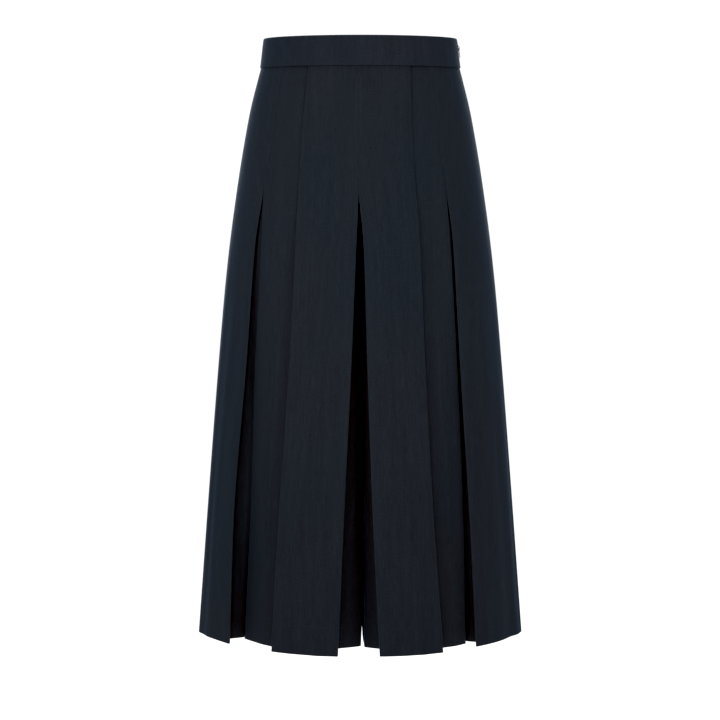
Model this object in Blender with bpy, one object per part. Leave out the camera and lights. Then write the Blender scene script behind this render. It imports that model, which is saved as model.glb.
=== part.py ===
"""Pleated midi culottes, standing filled out as they are when worn.

Four leg pieces hang from a two-piece waistband. Each leg piece is one wall of cloth whose level
sections run from the inseam, along the inner side of the leg, through the pleats, to the side seam.
The pleats are sewn down as far as the hip and open below it.

Metres, +Z up, the front faces -Y and the wearer's left is +X. The origin is the centre of the
waist, half-way up the waistband. A "drop" is a distance down from the waistband's top edge.
"""

import math
from collections import namedtuple

import bpy
from mathutils import Matrix, Vector

MM = 0.001

# Driving dimensions
LENGTH = 800 * MM
BAND_HEIGHT = 37 * MM
PLEATS_OPEN = 197 * MM
CROTCH = 310 * MM
CROTCH_CURVE_TOP = 215 * MM
CLOTH = 1.0 * MM
LAYER_GAP = 0.5 * MM
SEAM_GAP = 0.3 * MM
SEAM_TURN = 6 * MM
PITCH = CLOTH + LAYER_GAP
PITCH_AT_HEM = 3.2 * MM

# The outline worn: each row is a drop and the half width, front depth and back depth there
Outline = namedtuple("Outline", "drop half_width front back")
OUTLINE = (
    Outline(0 * MM, 126.9 * MM, 92 * MM, 90 * MM),
    Outline(38 * MM, 132.0 * MM, 97 * MM, 98 * MM),
    Outline(100 * MM, 146.5 * MM, 105 * MM, 110 * MM),
    Outline(190 * MM, 162.3 * MM, 112 * MM, 120 * MM),
    Outline(300 * MM, 177.3 * MM, 116 * MM, 124 * MM),
    Outline(434 * MM, 190.2 * MM, 119 * MM, 126 * MM),
    Outline(600 * MM, 204.1 * MM, 124 * MM, 130 * MM),
    Outline(800 * MM, 220.0 * MM, 131 * MM, 136 * MM),
)

# Towards the hem each side narrows to a soft edge, beyond this share of the half width
NARROWS_FROM = 0.7
NARROWING = 0.6

# Heights of the level sections of a leg piece
PIECE_DROPS = [d * MM for d in (37.3, 90, 145, 197, 228, 262, 290, 304, 310, 365, 440, 530, 620, 710, 800)]

# A fold of the cloth. Its edge's distance from the centre plane is given at seven drops, from the
# waistband's seam to the hem. set_back is how far behind the outline it hangs at the hem. The cloth
# arrives on one layer, turns at an edge that points out (+1) or to the centre (-1), and leaves on
# the next.
FOLD_DROPS = [d * MM for d in (37, 120, 197, 262, 421, 620, 800)]
Fold = namedtuple("Fold", "waist hip opening thigh knee calf hem set_back layer_in layer_out tip")

FOLDS = {
    "front_right": {
        "centre_return": Fold(30, 30, 30, 32, 39, 46, 52, 16, 2, 1, +1),
        "centre_edge": Fold(2.6, 2.6, 2.9, 5.6, 12.4, 21.1, 29.1, 0, 1, 0, -1),
        "inner_edge": Fold(68.3, 76.1, 80.7, 83.5, 92.2, 106.5, 117.4, 6, 0, 1, +1),
        "inner_return": Fold(41, 48, 52, 55, 66, 81, 91, 22, 1, 2, -1),
        "outer_edge": Fold(111.6, 115.5, 124.5, 130.6, 138.7, 147.0, 155.7, 54, 0, 1, +1),
        "outer_return": Fold(94, 97, 102, 106, 114, 124, 132, 84, 2.2, 3.2, -1),
        "side_return": Fold(124, 129, 142, 153, 168, 181, 190, 14, 2, 1, +1),
        "side_edge": Fold(112.4, 116.3, 125.3, 137.1, 150.8, 167.6, 175.6, 8, 1, 0, -1),
    },
    "front_left": {
        "centre_return": Fold(30, 30, 30, 32, 38, 44, 49, 22, 2, 1, +1),
        "centre_edge": Fold(-2.0, -2.0, -1.6, 2.3, 8.8, 16.4, 25.3, 0, 1, 0, -1),
        "inner_edge": Fold(64.8, 66.2, 71.6, 76.8, 84.0, 95.8, 109.5, 3, 0, 1, +1),
        "inner_return": Fold(39, 40, 44, 49, 57, 71, 83, 20, 1, 2, -1),
        "outer_edge": Fold(99.6, 103.0, 110.4, 115.1, 125.4, 135.7, 144.8, 36, 0, 1, +1),
        "outer_return": Fold(84, 86, 89, 92, 100, 112, 123, 64, 2.2, 3.2, -1),
        "side_return": Fold(113, 118, 128, 136, 149, 163, 174, 18, 2, 1, +1),
        "side_edge": Fold(100.4, 103.8, 111.2, 118.9, 129.2, 142.8, 156.0, 13, 1, 0, -1),
    },
    "back_right": {
        "centre_return": Fold(30, 30, 30, 32, 38, 44, 49, 18, 2, 1, +1),
        "centre_edge": Fold(2.6, 2.6, 2.8, 5.0, 11, 18, 25, 0, 1, 0, -1),
        "inner_edge": Fold(65, 70, 75, 79, 88, 100, 112, 5, 0, 1, +1),
        "inner_return": Fold(40, 43, 48, 52, 61, 75, 87, 21, 1, 2, -1),
        "outer_edge": Fold(104.6, 108.5, 116.6, 121, 131, 141, 149, 40, 0, 1, +1),
        "outer_return": Fold(88, 90, 93, 96, 104, 116, 126, 68, 2.2, 3.2, -1),
        "side_return": Fold(117, 122, 133, 141, 155, 168, 178, 18, 2, 1, +1),
        "side_edge": Fold(105.4, 109.3, 117.4, 126, 138, 151, 162, 12, 1, 0, -1),
    },
    "back_left": {
        "centre_return": Fold(30, 30, 30, 32, 39, 45, 50, 18, 2, 1, +1),
        "centre_edge": Fold(-2.0, -2.0, -1.8, 1.5, 8, 17, 26.5, 0, 1, 0, -1),
        "inner_edge": Fold(66, 71, 77, 81, 90, 102, 114, 5, 0, 1, +1),
        "inner_return": Fold(41, 45, 50, 54, 63, 77, 89, 21, 1, 2, -1),
        "outer_edge": Fold(106.6, 110.5, 118.6, 124, 134, 144, 152.5, 46, 0, 1, +1),
        "outer_return": Fold(90, 92, 96, 100, 108, 119, 129, 74, 2.2, 3.2, -1),
        "side_return": Fold(119, 124, 135, 144, 159, 172, 183, 16, 2, 1, +1),
        "side_edge": Fold(107.4, 111.3, 119.4, 129, 143, 156, 168, 11, 1, 0, -1),
    },
}

# How far behind the outline the inner corner of each leg hangs at the hem, and its corner radius
INNER_CORNER = {
    "front_right": (46 * MM, 1.5 * MM),
    "front_left": (40 * MM, 4.0 * MM),
    "back_right": (42 * MM, 3.0 * MM),
    "back_left": (44 * MM, 2.0 * MM),
}

# The slot between the legs: its width and sideways wave at a drop
Slot = namedtuple("Slot", "drop width wave centre")
SLOTS = (
    Slot(0 * MM, 0.3 * MM, 0.0 * MM, -2.2 * MM),
    Slot(310 * MM, 0.3 * MM, 0.0 * MM, -2.2 * MM),
    Slot(440 * MM, 1.0 * MM, 4.0 * MM, -1.0 * MM),
    Slot(710 * MM, 1.6 * MM, 4.5 * MM, 1.0 * MM),
    Slot(800 * MM, 4.2 * MM, 1.0 * MM, 2.0 * MM),
)
SLOT_WAVE_LENGTH = 110 * MM

# Points that bend a stretch of cloth between two folds
INNER_WALL_POINTS = 5
WIDE_STRETCH_POINTS = 3
SHORT_STRETCH_POINTS = 1
SIDE_STRETCH_POINTS = 4

# Waistband: cloth, facing and stiffening, standing a little proud of the pleats
BAND_PROUD = 0.7 * MM
BAND_THICK = 2.8 * MM
BAND_ROUND = 0.6 * MM
BAND_STEPS = 26

# Concealed zip: a slider over the side seam and a drop-shaped pull that hangs from its bridge
SLIDER_DROP = 10.5 * MM
SLIDER_WIDTH = 4.2 * MM
SLIDER_LENGTH = 7.6 * MM
SLIDER_PLATE = 0.7 * MM
BRIDGE_WIDTH = 1.2 * MM
BRIDGE_LENGTH = 5.6 * MM
BRIDGE_ROOM = 1.0 * MM
BRIDGE_THICK = 0.5 * MM
PULL_THICK = 0.6 * MM
PULL_NECK = 3.4 * MM
PULL_WIDTH = 4.6 * MM
PULL_LENGTH = 13 * MM
PULL_WINDOW_WIDTH = 1.9 * MM
PULL_WINDOW_LENGTH = 3.9 * MM
PULL_BAR = 0.6 * MM
PULL_END_STEPS = 6

NAVY = (0.0118, 0.0166, 0.0249)
DARK_METAL = (0.035, 0.038, 0.045)

Finish = namedtuple("Finish", "colour roughness metallic")
CLOTH_FINISH = Finish(NAVY, 0.82, 0.0)
METAL_FINISH = Finish(DARK_METAL, 0.38, 0.9)


def height(drop):
    """The world Z of a drop below the waistband's top edge."""
    return BAND_HEIGHT / 2 - drop


def smooth_between(places, values, place):
    """The value at a place, on a smooth curve through the values given at some places."""
    k = max(i for i in range(len(places) - 1) if i == 0 or places[i] <= place)
    span = places[k + 1] - places[k]
    step = (values[k + 1] - values[k]) / span

    def slope(i):
        if i in (0, len(places) - 1):
            return step
        return (values[i + 1] - values[i - 1]) / (places[i + 1] - places[i - 1])

    t = min(1.0, max(0.0, (place - places[k]) / span))
    start, end = slope(k) * span, slope(k + 1) * span
    blend = t * t * (3 - 2 * t)
    return (
        values[k] * (1 - blend)
        + values[k + 1] * blend
        + start * t * (1 - t) ** 2
        - end * t * t * (1 - t)
    )


def along_table(rows, drop, column):
    """A table's column at a drop, on a smooth curve through its rows."""
    return smooth_between([row.drop for row in rows], [getattr(row, column) for row in rows], drop)


def straight_along(rows, drop, column):
    """A table's column at a drop, on straight lines between its rows."""
    for low, high in zip(rows, rows[1:]):
        if drop <= high.drop:
            t = (drop - low.drop) / (high.drop - low.drop)
            return getattr(low, column) * (1 - t) + getattr(high, column) * t
    return getattr(rows[-1], column)


def opened(drop):
    """0 where the pleats are sewn down, growing to 1 at the hem."""
    return max(0.0, (drop - PLEATS_OPEN) / (LENGTH - PLEATS_OPEN))


def edge_across(fold, drop):
    """The distance of a fold's edge from the centre plane."""
    return smooth_between(FOLD_DROPS, fold[: len(FOLD_DROPS)], drop) * MM


SMALL_TURN = math.radians(0.5)
FOLD_CORNER = math.sqrt(0.5)


class Section:
    """A level section of one leg piece, as the line down the middle of its cloth."""

    def __init__(self, name, drop):
        self.name = name
        self.drop = drop
        self.side = 1 if name.endswith("left") else -1
        self.face = -1 if name.startswith("front") else 1
        self.half_width = along_table(OUTLINE, drop, "half_width")
        self.depth = along_table(OUTLINE, drop, "front" if self.face < 0 else "back")
        self.pitch = PITCH + (PITCH_AT_HEM - PITCH) * opened(drop)

    def on_outline(self, turn):
        """The outline's point at an angle round it from the centre front (or back)."""
        beyond = max(0.0, math.sin(turn) - NARROWS_FROM) / (1 - NARROWS_FROM)
        narrower = 1 - NARROWING * opened(self.drop) * beyond * beyond
        return Vector((self.half_width * math.sin(turn), self.depth * narrower * math.cos(turn)))

    def place(self, turn, layer, set_back):
        """The point at an angle round the outline, that many layers in and set back from it."""
        along = self.on_outline(turn + SMALL_TURN) - self.on_outline(turn - SMALL_TURN)
        outward = Vector((-along.y, along.x)).normalized()
        return self.on_outline(turn) - outward * layer * self.pitch - Vector((0, set_back))

    def turn_at(self, across):
        return math.asin(min(1.0, across / self.half_width))

    def fold_turn(self, fold):
        """The angle at which a fold's cloth starts to turn, just short of its edge."""
        turn = self.turn_at(edge_across(fold, self.drop))
        reach = self.pitch / 2 + FOLD_CORNER * CLOTH
        around = (self.on_outline(turn + SMALL_TURN) - self.on_outline(turn - SMALL_TURN)).length
        return turn - fold.tip * reach * 2 * SMALL_TURN / around

    def hang(self, fold):
        return fold.set_back * MM * opened(self.drop)

    def fold_points(self, fold):
        """The three points of a fold: in on one layer, round the tip, out on the next."""
        turn = self.fold_turn(fold)
        back = self.hang(fold)
        start = self.place(turn, fold.layer_in, back)
        end = self.place(turn, fold.layer_out, back)
        middle = (start + end) / 2
        along = (start - end).normalized()
        tip = Vector((abs(along.y), -along.x * math.copysign(1, along.y))) * fold.tip
        return [start, middle + tip * self.pitch / 2, end]

    def stretch(self, count, turns, layers, backs):
        """Points evenly between two places on the cloth, leaving out both ends."""
        shares = [(i + 1) / (count + 1) for i in range(count)]

        def between(pair, share):
            return pair[0] * (1 - share) + pair[1] * share

        return [self.place(between(turns, s), between(layers, s), between(backs, s)) for s in shares]

    def between_folds(self, count, first, second):
        turns = [self.fold_turn(fold) for fold in (first, second)]
        return self.stretch(
            count, turns, (first.layer_out, second.layer_in), (self.hang(first), self.hang(second))
        )

    def inner_edge_depth(self, corner_depth):
        """How far forward (or back) the piece begins: its crotch curve, then its inseam."""
        if self.drop >= CROTCH:
            return SEAM_GAP / 2
        start = corner_depth - SEAM_TURN
        if self.drop <= CROTCH_CURVE_TOP:
            return start
        down = (self.drop - CROTCH_CURVE_TOP) / (CROTCH - CROTCH_CURVE_TOP)
        return max(SEAM_GAP / 2, start * math.sqrt(1 - down * down))

    def slot_wall(self, depth):
        """The distance of the inner side's cloth from the centre plane, at a depth."""
        width = straight_along(SLOTS, self.drop, "width")
        wave = straight_along(SLOTS, self.drop, "wave")
        centre = straight_along(SLOTS, self.drop, "centre")
        across = centre + wave * math.sin(2 * math.pi * self.face * depth / SLOT_WAVE_LENGTH)
        return (width + CLOTH) / 2 + self.side * across

    def inner_side(self):
        """From the inseam to where the cloth turns on to the pleats' underlay."""
        set_back, radius = INNER_CORNER[self.name]
        share = opened(self.drop)
        corner = self.depth - 2 * self.pitch - set_back * share
        radius = 1.2 * MM + (radius - 1.2 * MM) * share
        edge = self.inner_edge_depth(corner)
        depths = [edge + (corner - radius - edge) * i / INNER_WALL_POINTS for i in range(INNER_WALL_POINTS + 1)]
        points = [Vector((self.slot_wall(d), d)) for d in depths]
        wall = self.slot_wall(corner)
        points.append(Vector((wall + radius * 0.4, corner - radius * 0.25)))
        points.append(Vector((wall + radius * 1.2, corner + radius * 0.15)))
        return points

    def middle_line(self):
        """Every point of the section, from the inseam or centre seam to the side seam."""
        folds = FOLDS[self.name]
        points = self.inner_side()
        corner = points[-1]
        first = self.fold_points(folds["centre_return"])[0]
        points.append((corner + first) / 2)
        if opened(self.drop) == 0:
            halfway = self.turn_at((corner.x + first.x) / 2)
            points[-1] = self.place(halfway, 2, 0)
        points += self.fold_points(folds["centre_return"])
        points += self.between_folds(SHORT_STRETCH_POINTS, folds["centre_return"], folds["centre_edge"])
        points += self.fold_points(folds["centre_edge"])
        points += self.between_folds(WIDE_STRETCH_POINTS, folds["centre_edge"], folds["inner_edge"])
        points += self.fold_points(folds["inner_edge"])
        points += self.between_folds(SHORT_STRETCH_POINTS, folds["inner_edge"], folds["inner_return"])
        points += self.fold_points(folds["inner_return"])
        points += self.middle_panel(folds["inner_return"], folds["inner_edge"], folds["outer_edge"])
        points += self.fold_points(folds["outer_edge"])
        points += self.between_folds(SHORT_STRETCH_POINTS, folds["outer_edge"], folds["outer_return"])
        points += self.fold_points(folds["outer_return"])
        points += self.between_folds(WIDE_STRETCH_POINTS, folds["outer_return"], folds["side_return"])
        points += self.fold_points(folds["side_return"])
        points += self.between_folds(SHORT_STRETCH_POINTS, folds["side_return"], folds["side_edge"])
        points += self.fold_points(folds["side_edge"])
        points += self.side_panel(folds["side_edge"])
        return [Vector((self.side * p.x, self.face * p.y)) for p in points]

    def middle_panel(self, hidden, over, visible):
        """From a hidden fold, under the fold that lies over it, and up to the next visible edge."""
        under = self.fold_turn(over)
        turns = (self.fold_turn(hidden), under)
        back = self.hang(hidden)
        layer = hidden.layer_out
        covered = self.stretch(SHORT_STRETCH_POINTS, turns, (layer, layer), (back, back))
        covered.append(self.place(under, layer, back))
        turns = (under, self.fold_turn(visible))
        layers = (layer, visible.layer_in)
        return covered + self.stretch(WIDE_STRETCH_POINTS, turns, layers, (back, self.hang(visible)))

    def side_panel(self, edge):
        """The last panel, round to the side seam."""
        turns = (self.fold_turn(edge), math.pi / 2)
        points = self.stretch(SIDE_STRETCH_POINTS, turns, (0, 0), (self.hang(edge), 0))
        points.append(Vector((self.half_width, SEAM_GAP / 2)))
        return points


def offset_line(points, distance):
    """The points moved sideways, to the left of the way they run, with mitred bends.

    At both ends the line is taken to go on as its mirror image across the side seam's plane.
    """
    ways = [(after - before).normalized() for before, after in zip(points, points[1:])]
    before_start = Vector((-ways[0].x, ways[0].y))
    after_end = Vector((-ways[-1].x, ways[-1].y))
    ways = [before_start] + ways + [after_end]
    moved = []
    for point, way_in, way_out in zip(points, ways, ways[1:]):
        left = Vector((-way_in.y, way_in.x))
        mitre = (left + Vector((-way_out.y, way_out.x))).normalized()
        moved.append(point + mitre * distance / max(0.5, mitre.dot(left)))
    return moved


def clear_scene():
    for old in list(bpy.data.objects):
        bpy.data.objects.remove(old)


def make_material(name, finish):
    material = bpy.data.materials.new(name)
    material.use_nodes = True
    shader = material.node_tree.nodes["Principled BSDF"]
    shader.inputs["Base Color"].default_value = (*finish.colour, 1)
    shader.inputs["Roughness"].default_value = finish.roughness
    shader.inputs["Metallic"].default_value = finish.metallic
    return material


def make_object(name, points, faces, finish):
    mesh = bpy.data.meshes.new(name)
    mesh.from_pydata(points, [], faces)
    mesh.validate()
    mesh.shade_smooth()
    mesh.set_sharp_from_angle(angle=math.radians(35))
    mesh.materials.append(make_material(name, finish))
    made = bpy.data.objects.new(name, mesh)
    bpy.context.scene.collection.objects.link(made)
    return made


def split_quad(a, b, c, d):
    return [(a, b, c), (a, c, d)]


def leg_piece(name):
    """A wall of cloth through the piece's sections, from the waistband down to the hem."""
    points, faces = [], []
    for drop in PIECE_DROPS:
        line = Section(name, drop).middle_line()
        z = height(drop)
        for side in (CLOTH / 2, -CLOTH / 2):
            points += [(p.x, p.y, z) for p in offset_line(line, side)]
    across = len(points) // (2 * len(PIECE_DROPS))

    def corner(row, side, i):
        return (2 * row + side) * across + i

    for row in range(len(PIECE_DROPS) - 1):
        for i in range(across - 1):
            a, b = corner(row, 0, i), corner(row, 0, i + 1)
            c, d = corner(row + 1, 0, i + 1), corner(row + 1, 0, i)
            faces += split_quad(a, b, c, d)
            a, b = corner(row, 1, i), corner(row, 1, i + 1)
            c, d = corner(row + 1, 1, i + 1), corner(row + 1, 1, i)
            faces += [(a, c, b), (a, d, c)]
        for i, (near, far) in ((0, (0, 1)), (across - 1, (1, 0))):
            a, b = corner(row, near, i), corner(row + 1, near, i)
            c, d = corner(row + 1, far, i), corner(row, far, i)
            faces += split_quad(a, b, c, d)
    last = len(PIECE_DROPS) - 1
    for i in range(across - 1):
        faces += split_quad(corner(0, 1, i), corner(0, 1, i + 1), corner(0, 0, i + 1), corner(0, 0, i))
        faces += split_quad(
            corner(last, 0, i), corner(last, 0, i + 1), corner(last, 1, i + 1), corner(last, 1, i)
        )
    return make_object(name, points, faces, CLOTH_FINISH)


def waistband(name, face):
    """Half the waistband: a rounded flat section swept round the outline from side to side."""
    column = "front" if face < 0 else "back"
    outer, inner = BAND_PROUD, BAND_PROUD - BAND_THICK
    r = BAND_ROUND
    profile = (
        (outer - r, 0), (outer, r), (outer, BAND_HEIGHT - r), (outer - r, BAND_HEIGHT),
        (inner + r, BAND_HEIGHT), (inner, BAND_HEIGHT - r), (inner, r), (inner + r, 0),
    )
    points, faces = [], []
    for step in range(BAND_STEPS + 1):
        turn = math.pi * (step / BAND_STEPS - 0.5)
        for out, drop in profile:
            width = along_table(OUTLINE, drop, "half_width")
            depth = along_table(OUTLINE, drop, column)
            outward = Vector((math.sin(turn) / width, math.cos(turn) / depth)).normalized()
            x = width * math.sin(turn) + outward.x * out
            y = max(SEAM_GAP / 2, depth * math.cos(turn) + outward.y * out)
            points.append((x, face * y, height(drop)))
    size = len(profile)
    for step in range(BAND_STEPS):
        for i in range(size):
            a, b = step * size + i, step * size + (i + 1) % size
            faces.append((a, b, b + size, a + size))
    last = BAND_STEPS * size
    faces.append(tuple(reversed(range(size))))
    faces.append(tuple(range(last, last + size)))
    if face > 0:
        faces = [tuple(reversed(f)) for f in faces]
    return make_object(name, points, faces, CLOTH_FINISH)


def zip_frame():
    """The matrix of the zip's own frame: X out from the waistband, Z up along it."""
    width = along_table(OUTLINE, SLIDER_DROP, "half_width")
    rise = along_table(OUTLINE, BAND_HEIGHT, "half_width") - along_table(OUTLINE, 0, "half_width")
    lean = -math.atan2(rise, BAND_HEIGHT)
    origin = Vector((width + BAND_PROUD + SEAM_GAP, 0, height(SLIDER_DROP)))
    return Matrix.Translation(origin) @ Matrix.Rotation(lean, 4, "Y")


def bridge_outline():
    """The slider's bridge from the side: an arch with room for the pull's bar under it."""
    half = BRIDGE_LENGTH / 2
    top = SLIDER_PLATE + BRIDGE_ROOM
    foot = SLIDER_PLATE * 0.4
    leg = BRIDGE_THICK * 1.4
    outer = [
        (foot, half), (top, half), (top + BRIDGE_THICK, half - leg),
        (top + BRIDGE_THICK, leg - half), (top, -half), (foot, -half),
    ]
    inner = [
        (foot, leg - half), (top - BRIDGE_THICK / 2, leg - half), (top, 1.6 * leg - half),
        (top, half - 1.6 * leg), (top - BRIDGE_THICK / 2, half - leg), (foot, half - leg),
    ]
    return outer + inner


def pull_outline():
    """The pull from the front: a narrow neck that widens to a round end."""
    end_centre = -PULL_LENGTH + PULL_WIDTH / 2
    right = [(PULL_NECK / 2, PULL_BAR / 2), (PULL_NECK / 2, -PULL_BAR / 2 - PULL_WINDOW_LENGTH)]
    for step in range(PULL_END_STEPS):
        swing = math.radians(20 - 110 * step / PULL_END_STEPS)
        right.append((PULL_WIDTH / 2 * math.cos(swing), end_centre + PULL_WIDTH / 2 * math.sin(swing)))
    left = [(-across, up) for across, up in reversed(right)]
    return right + [(0, -PULL_LENGTH)] + left


def plate_from(name, outline, low, high):
    """A flat solid from an outline of (across, up) points, between two distances out."""
    count = len(outline)
    points = [(out, across, up) for out in (low, high) for across, up in outline]
    faces = [(i, count + i, count + (i + 1) % count, (i + 1) % count) for i in range(count)]
    faces += [tuple(range(count)), tuple(reversed(range(count, 2 * count)))]
    return make_object(name, points, faces, METAL_FINISH)


def hide_cutter(cutter):
    cutter.hide_render = True
    cutter.display_type = "WIRE"


def zip_slider(frame):
    """A small plate with a rounded nose, and the bridge that holds the pull."""
    half_width, half_length = SLIDER_WIDTH / 2, SLIDER_LENGTH / 2
    shoulder, nose, tail = half_length * 0.55, half_width * 0.45, half_width * 0.8
    right = [(nose, half_length), (half_width, shoulder), (tail, -half_length)]
    outline = right + [(-across, up) for across, up in reversed(right)]
    plate = plate_from("zip_slider", outline, 0, SLIDER_PLATE)
    arch = bridge_outline()
    count = len(arch)
    points = [(out, across, up) for across in (-BRIDGE_WIDTH / 2, BRIDGE_WIDTH / 2) for out, up in arch]
    faces = [(i, count + i, count + (i + 1) % count, (i + 1) % count) for i in range(count)]
    faces += [tuple(range(count)), tuple(reversed(range(count, 2 * count)))]
    bridge = make_object("zip_bridge", points, faces, METAL_FINISH)
    hide_cutter(bridge)
    join = plate.modifiers.new("bridge", "BOOLEAN")
    join.operation = "UNION"
    join.solver = "EXACT"
    join.object = bridge
    for piece in (plate, bridge):
        piece.matrix_world = frame


def zip_pull(frame):
    """A drop-shaped flat pull. Its top bar sits under the bridge, and it turns about that bar."""
    half_bar, half_window = PULL_BAR / 2, PULL_WINDOW_WIDTH / 2
    pull = plate_from("zip_pull", pull_outline(), -PULL_THICK / 2, PULL_THICK / 2)
    right = [(half_window, -half_bar), (half_window, -half_bar - PULL_WINDOW_LENGTH)]
    window = right + [(-across, up) for across, up in reversed(right)]
    cutter = plate_from("zip_pull_window", window, -PULL_THICK, PULL_THICK)
    hide_cutter(cutter)
    cut = pull.modifiers.new("window", "BOOLEAN")
    cut.operation = "DIFFERENCE"
    cut.solver = "EXACT"
    cut.object = cutter
    bar_place = frame @ Matrix.Translation((SLIDER_PLATE + BRIDGE_ROOM / 2, 0, 0))
    for piece in (pull, cutter):
        piece.matrix_world = bar_place


clear_scene()
for piece_name in FOLDS:
    leg_piece(piece_name)
waistband("waistband_front", -1)
waistband("waistband_back", 1)
zip_place = zip_frame()
zip_slider(zip_place)
zip_pull(zip_place)
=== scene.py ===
# %% [markdown]
# # Pleated midi culottes
#
# Culottes are trousers cut so full, and pleated so deep, that they hang like a skirt. This lesson
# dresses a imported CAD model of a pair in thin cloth, with rolled hems, seam allowances, stitching,
# a zip and a fine navy twill. The frame is loaded first and never moved: every piece below is made
# in its coordinates, in metres, with Z up, the front facing -Y and the wearer's left on +X.

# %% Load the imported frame
import math
from collections import namedtuple

import bpy
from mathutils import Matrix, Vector, noise


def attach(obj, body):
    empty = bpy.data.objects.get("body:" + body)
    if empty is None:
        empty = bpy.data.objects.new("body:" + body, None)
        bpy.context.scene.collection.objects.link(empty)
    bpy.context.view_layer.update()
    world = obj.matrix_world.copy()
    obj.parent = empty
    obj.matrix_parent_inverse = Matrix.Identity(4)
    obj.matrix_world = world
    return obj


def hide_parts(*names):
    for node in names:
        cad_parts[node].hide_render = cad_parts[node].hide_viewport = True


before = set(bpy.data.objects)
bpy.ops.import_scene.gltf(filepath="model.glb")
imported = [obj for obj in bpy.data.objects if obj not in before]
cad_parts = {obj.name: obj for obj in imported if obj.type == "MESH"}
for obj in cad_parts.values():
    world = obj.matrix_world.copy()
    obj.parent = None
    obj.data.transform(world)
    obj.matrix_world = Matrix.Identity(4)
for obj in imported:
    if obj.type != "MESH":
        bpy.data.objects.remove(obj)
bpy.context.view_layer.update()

# %% [markdown]
# ## Sizes
#
# A dressmaker writes every height on a skirt as a distance down from the waist, so a "drop" here is
# a distance below the waistband's top edge. The pleats are sewn down as far as the hip and open
# below it. The real cloth is about half a millimetre thick, thinner than the solids of the frame.

# %% Sizes of the garment
MM = 0.001
LENGTH = 800 * MM
BAND_HEIGHT = 37 * MM
PLEATS_OPEN = 197 * MM
CROTCH = 310 * MM
CROTCH_CURVE_TOP = 215 * MM
CLOTH = 0.55 * MM
SEAM_GAP = 0.04 * MM
SEAM_TURN = 6 * MM
PITCH_SEWN = 1.1 * MM
PITCH_AT_HEM = 3.2 * MM
HEM_TURN_UP = 38 * MM
HALF_CLOTH = CLOTH / 2


def height(drop):
    """The world Z of a drop below the waistband's top edge."""
    return BAND_HEIGHT / 2 - drop


print("waist edge at", round(height(0), 4), "hem at", round(height(LENGTH), 4))

# %% [markdown]
# ## The outline and its folds
#
# Small tables say what the garment's shape is. The first gives the half width and the depths of
# the outline at some drops, as worn. The second gives, for each quarter, where the edge of each
# fold lies at seven drops, and how far it hangs back at the hem. A third says which layers of cloth
# each fold joins and which way its tip points, and the last two shape the inner side of a leg: its
# corner at the hem, and the slot between the legs. They hold nearly the same values as the frame, so
# that the cloth lies on its solids. A smooth curve through the rows fills in every level between them,
# and the slot's rows are joined by straight lines.

# %% The outline's rows and a smooth curve through them
Outline = namedtuple("Outline", "drop half_width front back")
OUTLINE = [Outline(*[value * MM for value in row]) for row in (
    (0, 126.9, 92, 90),
    (38, 132.0, 97, 98),
    (100, 146.5, 105, 110),
    (190, 162.3, 112, 120),
    (300, 177.3, 116, 124),
    (434, 190.2, 119, 126),
    (600, 204.1, 124, 130),
    (800, 220.0, 131, 136),
)]
NARROWS_FROM = 0.7
NARROWING = 0.6


def smooth_between(places, values, place):
    """The value at a place, on a smooth curve through the values given at some places."""
    k = max(i for i in range(len(places) - 1) if i == 0 or places[i] <= place)
    span = places[k + 1] - places[k]
    step = (values[k + 1] - values[k]) / span

    def slope(i):
        if i in (0, len(places) - 1):
            return step
        return (values[i + 1] - values[i - 1]) / (places[i + 1] - places[i - 1])

    t = min(1.0, max(0.0, (place - places[k]) / span))
    start, end = slope(k) * span, slope(k + 1) * span
    blend = t * t * (3 - 2 * t)
    eased = values[k] * (1 - blend) + values[k + 1] * blend
    return eased + start * t * (1 - t) ** 2 - end * t * t * (1 - t)


def along_table(rows, drop, column):
    """A table's column at a drop, on a smooth curve through its rows."""
    return smooth_between([row.drop for row in rows], [getattr(row, column) for row in rows], drop)


def straight_along(rows, drop, column):
    """A table's column at a drop, on straight lines between its rows."""
    for low, high in zip(rows, rows[1:]):
        if drop <= high.drop:
            t = (drop - low.drop) / (high.drop - low.drop)
            return getattr(low, column) * (1 - t) + getattr(high, column) * t
    return getattr(rows[-1], column)


def ramp(low, high, value):
    """0 below low, 1 above high, and smooth between them."""
    t = min(1.0, max(0.0, (value - low) / (high - low)))
    return t * t * (3 - 2 * t)


def opened(drop):
    """0 where the pleats are sewn down, growing to 1 at the hem."""
    return max(0.0, (drop - PLEATS_OPEN) / (LENGTH - PLEATS_OPEN))


print("hip half width", round(along_table(OUTLINE, PLEATS_OPEN, "half_width") * 1000, 1), "mm")

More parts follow.
